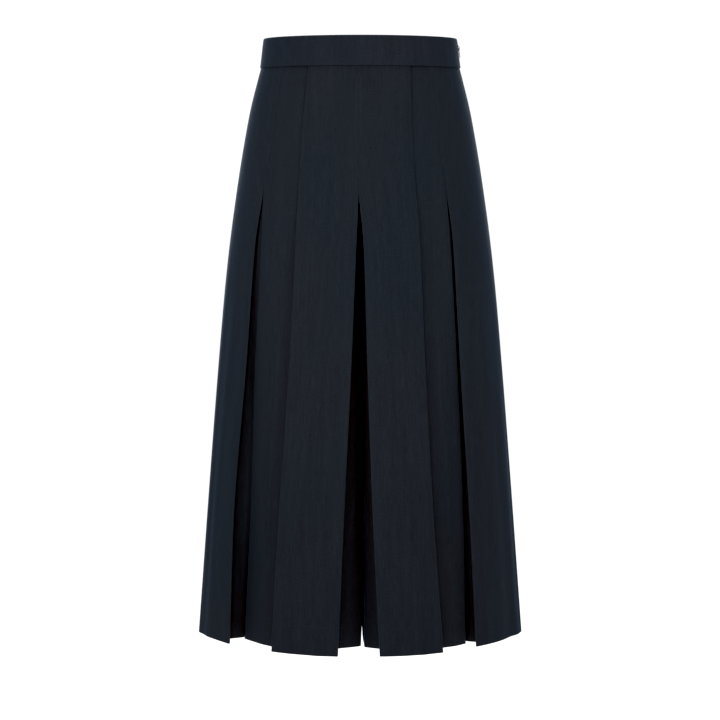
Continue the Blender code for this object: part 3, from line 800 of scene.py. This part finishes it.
# %% Helpers for node trees
def add_node(tree, kind, inputs=None, **settings):
    node = tree.nodes.new(kind)
    for name, value in settings.items():
        setattr(node, name, value)
    for key, value in (inputs or {}).items():
        if isinstance(value, bpy.types.NodeSocket):
            tree.links.new(value, node.inputs[key])
        else:
            node.inputs[key].default_value = value
    return node


def first_output(tree, kind, inputs=None, **settings):
    return add_node(tree, kind, inputs, **settings).outputs[0]


def maths(tree, operation, first, second=0.0, third=0.0):
    return first_output(tree, "ShaderNodeMath", {0: first, 1: second, 2: third}, operation=operation)


def spread(tree, value, low, high, to_low, to_high):
    """A value between low and high, mapped on to another span and held inside it."""
    sockets = {"Value": value, "From Min": low, "From Max": high, "To Min": to_low, "To Max": to_high}
    return add_node(tree, "ShaderNodeMapRange", sockets).outputs["Result"]


def object_place(tree):
    return add_node(tree, "ShaderNodeTexCoord").outputs["Object"]


def streaks(tree, place, scale, detail=2.0):
    """Noise at a place, stretched by a scale in each direction."""
    mapped = first_output(tree, "ShaderNodeMapping", {"Vector": place, "Scale": scale})
    return first_output(tree, "ShaderNodeTexNoise", {"Vector": mapped, "Scale": 1.0, "Detail": detail})


def tinted(tree, share, first, second, blend="MIX"):
    """Two colours mixed: a Mix node has its factor at socket 0 and its colours at 6 and 7."""
    sockets = {0: share, 6: first, 7: second}
    return add_node(tree, "ShaderNodeMix", sockets, data_type="RGBA", blend_type=blend).outputs[2]


def start_material(name, roughness, specular):
    material = bpy.data.materials.new(name)
    material.use_nodes = True
    shader = material.node_tree.nodes["Principled BSDF"]
    shader.inputs["Roughness"].default_value = roughness
    shader.inputs["Specular IOR Level"].default_value = specular
    return material, material.node_tree, shader


def add_relief(tree, shader, strength, distance, relief):
    sockets = {"Strength": strength, "Distance": distance, "Height": relief}
    tree.links.new(first_output(tree, "ShaderNodeBump", sockets), shader.inputs["Normal"])


print("node helpers ready")

# %% [markdown]
# ## Navy twill
#
# Twill is woven so that each weft thread floats over two warp threads, one step further along in
# every row, which draws fine diagonal ridges. The ridges follow the cloth, so they are made from the
# piece's own map, which is in metres along and down the cloth. Real yarn varies in thickness and
# takes the dye unevenly: faint streaks run down the warp. Pressing flattens the fibres on the fold
# edges, which makes them a little smoother; their lighter colour is partly press shine and partly a
# painted highlight. The hem's upper edge gets a faint painted highlight line.

# %% The twill material, for the legs and a tighter one for the waistband
TWILL_STEP = 0.62 * MM
TWILL_SLOPE = 0.55
FLOAT_STEP = 0.8
TWILL_STREAKS = (
    ((900, 160, 1), 3.0), ((700, 60, 1), 3.0), ((260, 12, 1), 2.0), ((70, 5.0, 1), 2.0),
    ((520, 480, 1), 2.0),
)
FUZZ_SCALE, PATCH_SCALE = (2600, 2600, 2600), (7, 7, 3.5)
FLOAT_RELIEF, SLUB_RELIEF, FUZZ_RELIEF = 0.3, 1.6, 1.2
RELIEF_STRENGTH, RELIEF_HEIGHT = 0.35, 0.06 * MM
ROUGH, SLUB_ROUGHER, PRESSED_ROUGHER = 0.80, 0.10, -0.08
HEM_HIGHLIGHT_SPAN, HEM_HIGHLIGHT_GAIN = (0.4 * MM, 1.8 * MM), 1.05
TWILL_SHEEN = {"Sheen Weight": 0.05, "Sheen Roughness": 0.45, "Sheen Tint": (0.22, 0.55, 1.0, 1)}


def twill(name, colour, warm, step, painted_hem_highlight):
    material, tree, shader = start_material(name, roughness=0.86, specular=0.03)
    cloth_map = first_output(tree, "ShaderNodeUVMap", uv_map="cloth_map")
    along, down, _ = add_node(tree, "ShaderNodeSeparateXYZ", {0: cloth_map}).outputs
    body = object_place(tree)
    pressed = add_node(tree, "ShaderNodeAttribute", attribute_name="pressed").outputs["Fac"]

    slant = maths(tree, "MULTIPLY_ADD", down, TWILL_SLOPE, along)
    wander, slub, yarn, drift, mottle = [streaks(tree, cloth_map, *each) for each in TWILL_STREAKS]
    fuzz = streaks(tree, body, FUZZ_SCALE)
    ridge = maths(tree, "SINE", maths(tree, "MULTIPLY_ADD", slant, 2 * math.pi / step, wander))
    float_ends = maths(tree, "SINE", maths(tree, "MULTIPLY", down, 2 * math.pi / (step * FLOAT_STEP)))
    relief = maths(tree, "MULTIPLY_ADD", float_ends, FLOAT_RELIEF, ridge)
    relief = maths(tree, "MULTIPLY_ADD", slub, SLUB_RELIEF, relief)
    relief = maths(tree, "MULTIPLY_ADD", fuzz, FUZZ_RELIEF, relief)
    add_relief(tree, shader, RELIEF_STRENGTH, RELIEF_HEIGHT, relief)

    patches = streaks(tree, body, PATCH_SCALE)
    tone = tinted(tree, spread(tree, patches, 0.35, 0.65, 0, 1), (*colour, 1), (*warm, 1))
    light = 1.0
    # Pressed places are painted up to 28% lighter: partly press shine, partly a painted highlight on the
    # fold edges.
    for value, low, high, darkest, lightest in (
        (slub, 0.3, 0.7, 0.88, 1.12), (yarn, 0.3, 0.7, 0.94, 1.06), (drift, 0.3, 0.7, 0.95, 1.05),
        (mottle, 0.3, 0.7, 0.86, 1.14), (ridge, -1, 1, 0.9, 1.1), (pressed, 0.45, 1, 1, 1.28),
    ):
        light = maths(tree, "MULTIPLY", light, spread(tree, value, low, high, darkest, lightest))
    # A painted highlight: a faint lighter line where the turned-up hem's top edge would catch the light.
    if painted_hem_highlight:
        z = add_node(tree, "ShaderNodeSeparateXYZ", {0: body}).outputs[2]
        away = maths(tree, "ABSOLUTE", maths(tree, "SUBTRACT", z, height(LENGTH - HEM_TURN_UP)))
        light = maths(tree, "MULTIPLY", light, spread(tree, away, *HEM_HIGHLIGHT_SPAN, HEM_HIGHLIGHT_GAIN, 1))
    grey = first_output(tree, "ShaderNodeCombineXYZ", {0: light, 1: light, 2: light})
    tree.links.new(tinted(tree, 1.0, tone, grey, "MULTIPLY"), shader.inputs["Base Color"])
    rough = maths(tree, "MULTIPLY_ADD", slub, SLUB_ROUGHER, ROUGH)
    rough = maths(tree, "MULTIPLY_ADD", pressed, PRESSED_ROUGHER, rough)
    tree.links.new(rough, shader.inputs["Roughness"])
    for socket, value in TWILL_SHEEN.items():
        shader.inputs[socket].default_value = value
    return material


NAVY = (0.0067, 0.0102, 0.0145)
NAVY_WARM = (0.0077, 0.0102, 0.0141)
# The waistband is the legs' cloth, painted a little lighter and bluer: painted light, where the band
# catches more light.
NAVY_BAND_LIT = (0.0070, 0.0106, 0.0154)
NAVY_BAND_LIT_WARM = (0.0079, 0.0106, 0.0150)
BAND_FINER, TAPE_FINER = 0.9, 0.8
leg_twill = twill("navy_twill", NAVY, NAVY_WARM, TWILL_STEP, True)
band_twill = twill("navy_twill_band", NAVY_BAND_LIT, NAVY_BAND_LIT_WARM, TWILL_STEP * BAND_FINER, False)
print("twill ridges every", round(TWILL_STEP / MM, 2), "mm")

# %% [markdown]
# ## Thread, made by one tree of nodes
#
# Stitches are one small bend of thread, repeated along a line. A tree of Geometry Nodes does exactly
# that: it lays points along the line at the stitch's spacing, puts a bend on each, turned to the
# line and to the side that it lies on, and makes it all one mesh. The bend's four control points are
# inputs, so the same tree makes the overlocking that holds the raw edges, the running stitch on the
# waistband's facing and the turns of the zip's coil.

# %% The tree that lays bends of thread along a line
def new_tree(name, inputs):
    tree = bpy.data.node_groups.new(name, "GeometryNodeTree")
    tree.interface.new_socket("Geometry", in_out="INPUT", socket_type="NodeSocketGeometry")
    tree.interface.new_socket("Geometry", in_out="OUTPUT", socket_type="NodeSocketGeometry")
    for label, kind in inputs.items():
        tree.interface.new_socket(label, in_out="INPUT", socket_type=kind)
    return tree


POINTS = ("Start", "Start Handle", "End Handle", "End")
THREAD_STEPS, THREAD_SIDES = 5, 5
thread_tree = new_tree("thread_along_a_line", {
    **dict.fromkeys(POINTS, "NodeSocketVector"), "Spacing": "NodeSocketFloat",
    "Thread Radius": "NodeSocketFloat", "Thread": "NodeSocketMaterial",
})
given = thread_tree.nodes.new("NodeGroupInput").outputs


def put(kind, inputs=None, **settings):
    return first_output(thread_tree, kind, inputs, **settings)


line = put("GeometryNodeMeshToCurve", {"Mesh": given["Geometry"]})
line = put("GeometryNodeResampleCurve", {"Curve": line, "Length": given["Spacing"]}, mode="LENGTH")
lies_on = put("GeometryNodeInputNamedAttribute", {"Name": "lies_on"}, data_type="FLOAT_VECTOR")
along = put("GeometryNodeInputTangent")
turned = put("FunctionNodeAxesToRotation", {0: lies_on, 1: along}, primary_axis="Z", secondary_axis="X")
bend_points = {label: given[label] for label in POINTS}
bend = put("GeometryNodeCurvePrimitiveBezierSegment", {"Resolution": THREAD_STEPS, **bend_points})
around = put(
    "GeometryNodeCurvePrimitiveCircle", {"Resolution": THREAD_SIDES, "Radius": given["Thread Radius"]}
)
stitch = put("GeometryNodeCurveToMesh", {"Curve": bend, "Profile Curve": around, "Fill Caps": True})
laid = put("GeometryNodeInstanceOnPoints", {"Points": line, "Instance": stitch, "Rotation": turned})
laid = put("GeometryNodeRealizeInstances", {"Geometry": laid})
laid = put("GeometryNodeSetMaterial", {"Geometry": laid, "Material": given["Thread"]})
add_node(thread_tree, "NodeGroupOutput", {"Geometry": laid})
print("thread tree nodes", len(thread_tree.nodes))

# %% Run the tree along some lines
Stitch = namedtuple("Stitch", "bend spacing radius")


def along_lines(name, lines, kind, material):
    """Stitches of a kind along lines of (points, side that they lie on, way into the cloth)."""
    places, edges, sides = [], [], []
    for path, faces, into in lines:
        if faces[0].cross(path[1] - path[0]).dot(into) < 0:
            path, faces = path[::-1], faces[::-1]
        edges += [(len(places) + k, len(places) + k + 1) for k in range(len(path) - 1)]
        places += path
        sides += faces
    mesh = bpy.data.meshes.new(name + "_lines")
    mesh.from_pydata(places, edges, [])
    side_of = mesh.attributes.new("lies_on", "FLOAT_VECTOR", "POINT")
    side_of.data.foreach_set("vector", [value for side in sides for value in side])
    source = new_object(name + "_lines", mesh)
    laid_thread = source.modifiers.new("thread", "NODES")
    laid_thread.node_group = thread_tree
    values = dict(zip(POINTS, [[value * MM for value in point] for point in kind.bend]))
    values.update({"Spacing": kind.spacing, "Thread Radius": kind.radius, "Thread": material})
    for item in thread_tree.interface.items_tree:
        if item.in_out == "INPUT" and item.name in values:
            laid_thread[item.identifier] = values[item.name]
    evaluated = source.evaluated_get(bpy.context.evaluated_depsgraph_get())
    thread = new_object(name, bpy.data.meshes.new_from_object(evaluated))
    bpy.data.objects.remove(source)
    thread.data.name = name
    thread.data.shade_smooth()
    print(name, "faces", len(thread.data.polygons))
    return thread


# %% The thread itself, and the stitches
def grained(name, colours, patches, gloss, relief, specular, grain, metallic=0.0):
    """A dark material whose fine grain changes its colour, its roughness and its surface a little."""
    material, tree, shader = start_material(name, sum(gloss) / 2, specular)
    body = object_place(tree)
    fibres = streaks(tree, body, (grain, grain, grain), 3.0)
    tint = tinted(tree, spread(tree, fibres, *patches, 0, 1), *[(*colour, 1) for colour in colours])
    tree.links.new(tint, shader.inputs["Base Color"])
    tree.links.new(spread(tree, fibres, 0.3, 0.7, *gloss), shader.inputs["Roughness"])
    add_relief(tree, shader, relief, 0.02 * MM, fibres)
    shader.inputs["Metallic"].default_value = metallic
    return material


FIBRE_LIGHTER = 1.5


def yarn_like(name, colour, gloss, grain):
    """Thread or nylon: its fibres are half as light again in places."""
    lighter = [value * FIBRE_LIGHTER for value in colour]
    return grained(name, (colour, lighter), (0.35, 0.65), gloss, relief=0.3, specular=0.3, grain=grain)


navy_thread = yarn_like("navy_thread", (0.011, 0.015, 0.022), (0.52, 0.68), 3200)
OVERLOCK = Stitch(
    ((-0.8, 3.2, 0.50), (-0.3, -1.6, 0.75), (0.3, -1.6, -0.75), (0.8, 3.2, -0.50)), 2.4 * MM, 0.12 * MM
)
RUNNING = Stitch(((-1.15, 0, 0.12), (-0.6, 0, 0.55), (0.6, 0, 0.55), (1.15, 0, 0.12)), 3.0 * MM, 0.13 * MM)
FACING_STITCH = 33.2 * MM
FACING_INSIDE = 4.45 * MM
STITCHED_FROM = 3 * MM
overlock = along_lines("edge_overlocking", raw_edges, OVERLOCK, navy_thread)

facing_lines = []
for face in (-1, 1):
    path, inward = [], []
    for turn, _ in band_turns():
        across, deep, outward = beside_band(turn, FACING_STITCH, face, -FACING_INSIDE)
        if deep > STITCHED_FROM:
            path.append(Vector((across, face * deep, height(FACING_STITCH))))
            inward.append(Vector((-outward.x, -face * outward.y, 0)))
    facing_lines.append((path, inward, Vector((0, 0, -1))))
facing_stitch = along_lines("facing_stitches", facing_lines, RUNNING, navy_thread)

# %% [markdown]
# ## The concealed zip's tape and coil
#
# A concealed zip lies behind the side seam, so outside only its pull shows. From inside, or through
# the waist, two woven tapes run down beside the seam with the coil between them. The tapes follow the
# side's own curve, a little inside the seam allowances.

# %% Make the tapes and the coil
ZIP_END = 205 * MM
TAPE_INSIDE, TAPE_WIDTH, TAPE_THICK = 1.65 * MM, 12.5 * MM, 0.4 * MM
TAPE_ASIDE, TAPE_COLUMNS = 0.5 * MM, 6
COIL_INSIDE, COIL_ASIDE = 2.3 * MM, 0.75 * MM
COIL_TURN = Stitch(
    ((-0.28, -1.7, 0.42), (-0.24, 1.9, 0.5), (0.24, 1.9, -0.2), (0.28, -1.7, -0.15)), 1.15 * MM, 0.19 * MM
)
ZIP_ROWS = 34
ZIP_DROPS = [PIECE_TOP + (ZIP_END - PIECE_TOP) * i / ZIP_ROWS for i in range(ZIP_ROWS + 1)]


def beside_seam(drop, aside, inside):
    """A place inside the left side seam, some distance to the front or back of it."""
    depth = along_table(OUTLINE, drop, "front" if aside < 0 else "back")
    turn = math.acos(abs(aside) / depth)
    across = along_table(OUTLINE, drop, "half_width") * math.sin(turn)
    return Vector((across + stands_out(1, turn, drop) - inside, aside, height(drop)))


tapes = []
for face, name in ((-1, "zip_tape_front"), (1, "zip_tape_back")):
    rows = []
    steps = [TAPE_ASIDE + TAPE_WIDTH * k / TAPE_COLUMNS for k in range(TAPE_COLUMNS + 1)]
    for drop in ZIP_DROPS:
        rows.append([(beside_seam(drop, face * aside, TAPE_INSIDE), aside, drop, 0.0) for aside in steps])
    tapes.append(sheet_object(name, rows, lambda i, j: True, face < 0))
coil_lines = []
for face in (-1, 1):
    path = [beside_seam(drop, face * COIL_ASIDE, COIL_INSIDE) for drop in ZIP_DROPS]
    coil_lines.append((path, [Vector((-1, 0, 0))] * len(path), Vector((0, -face, 0))))
nylon = yarn_like("dark_nylon", (0.012, 0.014, 0.018), (0.30, 0.46), 1800)
coil = along_lines("zip_coil", coil_lines, COIL_TURN, nylon)
print("zip opens", round((ZIP_END - OUTLINE[0].drop) * 1000), "mm down")

# %% [markdown]
# ## Finish the cloth pieces
#
# Every cloth piece gets its wall, its material and the body that it rides on, and the frame's solid
# that it stands for is hidden.

# %% Finish the legs and the waistband
for leg_name, leg in legs.items():
    thicken(leg, CLOTH)
    leg.data.materials.append(leg_twill)
    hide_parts(leg_name)
    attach(leg, "culottes")
    band_name = "waistband_" + leg_name.split("_")[0]
for band_name, band in bands.items():
    thicken(band, CLOTH)
    band.data.materials.append(band_twill)
    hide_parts(band_name)
    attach(band, "culottes")

# %% Finish the tapes, the coil and the thread
tape_twill = twill("navy_tape", NAVY, NAVY_WARM, TWILL_STEP * TAPE_FINER, False)
for tape in tapes:
    thicken(tape, TAPE_THICK)
    tape.data.materials.append(tape_twill)
    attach(tape, "culottes")
for trim, slot_name in ((overlock, "leg_cloth"), (facing_stitch, "band_cloth"), (coil, "zip_metal")):
    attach(trim, "culottes")
print("tapes", [round(v * 1000, 1) for v in (TAPE_WIDTH, ZIP_END - PIECE_TOP)], "mm")

# %% [markdown]
# ## Zip slider and pull
#
# The slider and its pull are solids of the frame already, with the right shape, so they stay. Their
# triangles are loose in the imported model: a Weld joins them, and a Bevel then rounds the cast edges.

# %% Finish the zip's metal
WELD_REACH = 0.01 * MM
ROUNDED, ROUNDED_STEPS = 0.09 * MM, 2
SHARP = math.radians(35)
zip_metal = grained(
    "dark_painted_metal", ((0.011, 0.014, 0.020), (0.030, 0.033, 0.040)), (0.58, 0.72), (0.38, 0.52),
    relief=0.2, specular=0.25, grain=900, metallic=0.25,
)
for node_name in ("zip_slider", "zip_pull"):
    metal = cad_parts[node_name]
    metal.data.materials.clear()
    metal.data.materials.append(zip_metal)
    weld = metal.modifiers.new("join", "WELD")
    weld.merge_threshold = WELD_REACH
    bevel = metal.modifiers.new("rounded", "BEVEL")
    bevel.width = ROUNDED
    bevel.segments = ROUNDED_STEPS
    bevel.limit_method = "ANGLE"
    bevel.angle_limit = SHARP

# %% [markdown]
# ## Floor, light and camera
#
# The photograph is a shop picture on plain white. A pale floor under a white surround does the same.
# Two soft lights stand in front, one on each side and a little above the waist, and a weaker one low
# down. All three are narrowed, so that their light falls off towards the hem. Two lights behind and one
# above catch the edges. The picture's black level is raised, because the photograph's shadows end in
# black. The camera's place is worked out from how the waist and hem curve in the picture: it stands
# 2.5 m away, above the middle of the garment, and looks down a few degrees.

# %% The floor and the light
FLOOR, FLOOR_REACH = -1.25, 30.0
SURROUND = 1.06
DEEPEST_SHADE = (0.0056, 0.0092, 0.0125)
WAIST, HIP, SOFT_WHITE = (0, 0, -0.13), (0, 0, -0.2), (1.0, 0.99, 0.99)
Lamp = namedtuple("Lamp", "name place aim size power colour spread")
LAMPS = (
    Lamp("key", (-1.0, -1.25, 0.1), WAIST, 0.7, 4.35, SOFT_WHITE, 90),
    Lamp("fill", (0.84, -1.35, 0.1), WAIST, 0.7, 3.85, (1.0, 0.98, 0.98), 90),
    Lamp("front", (-0.3, -2.0, -0.35), (0, 0, -0.45), 0.5, 2.9, (1.0, 0.97, 0.99), 90),
    Lamp("back_right", (-0.6, 1.5, -0.05), HIP, 0.7, 16, SOFT_WHITE, 180),
    Lamp("back_left", (0.6, 1.5, -0.05), HIP, 0.7, 16, SOFT_WHITE, 180),
    Lamp("above", (0.0, 0.6, 1.2), (0, 0, 0), 0.7, 18, SOFT_WHITE, 180),
)


def lay_floor():
    corners = [(x * FLOOR_REACH, y * FLOOR_REACH, FLOOR) for x, y in ((-1, -1), (1, -1), (1, 1), (-1, 1))]
    mesh = bpy.data.meshes.new("pale_floor")
    mesh.from_pydata(corners, [], [(0, 1, 2, 3)])
    floor = new_object("pale_floor", mesh)
    material, _, shader = start_material("pale_floor", roughness=0.9, specular=0.1)
    shader.inputs["Base Color"].default_value = (0.97, 0.97, 0.97, 1)
    floor.data.materials.append(material)


def hang_lamp(lamp):
    data = bpy.data.lights.new(lamp.name, "AREA")
    data.shape = "DISK"
    data.size, data.energy, data.color = lamp.size, lamp.power, lamp.colour
    data.spread = math.radians(lamp.spread)
    made = new_object(lamp.name, data)
    made.location = lamp.place
    made.rotation_euler = (Vector(lamp.aim) - Vector(lamp.place)).to_track_quat("-Z", "Y").to_euler()
    made.visible_camera = False


lay_floor()
world = bpy.data.worlds.new("white_surround")
bpy.context.scene.world = world
world.use_nodes = True
world.node_tree.nodes["Background"].inputs["Color"].default_value = (1, 1, 1, 1)
world.node_tree.nodes["Background"].inputs["Strength"].default_value = SURROUND
for lamp in LAMPS:
    hang_lamp(lamp)
picture = bpy.context.scene.view_settings
picture.view_transform = "Standard"
picture.use_curve_mapping = True
picture.curve_mapping.black_level = DEEPEST_SHADE
print("lights", [lamp.name for lamp in LAMPS])

# %% The camera at the photograph's angle
CAMERA_PLACE = (-0.0004, -2.555, -0.119)
CAMERA_TILT = math.radians(6.44)
LENS, SENSOR = 95.4, 36
camera_data = bpy.data.cameras.new("camera")
camera_data.lens, camera_data.sensor_width = LENS, SENSOR
camera_data.clip_end = 100
camera = new_object("camera", camera_data)
camera.location = CAMERA_PLACE
camera.rotation_euler = (math.radians(90) - CAMERA_TILT, 0, 0)
bpy.context.scene.camera = camera
print("camera", [round(v, 3) for v in camera.location])
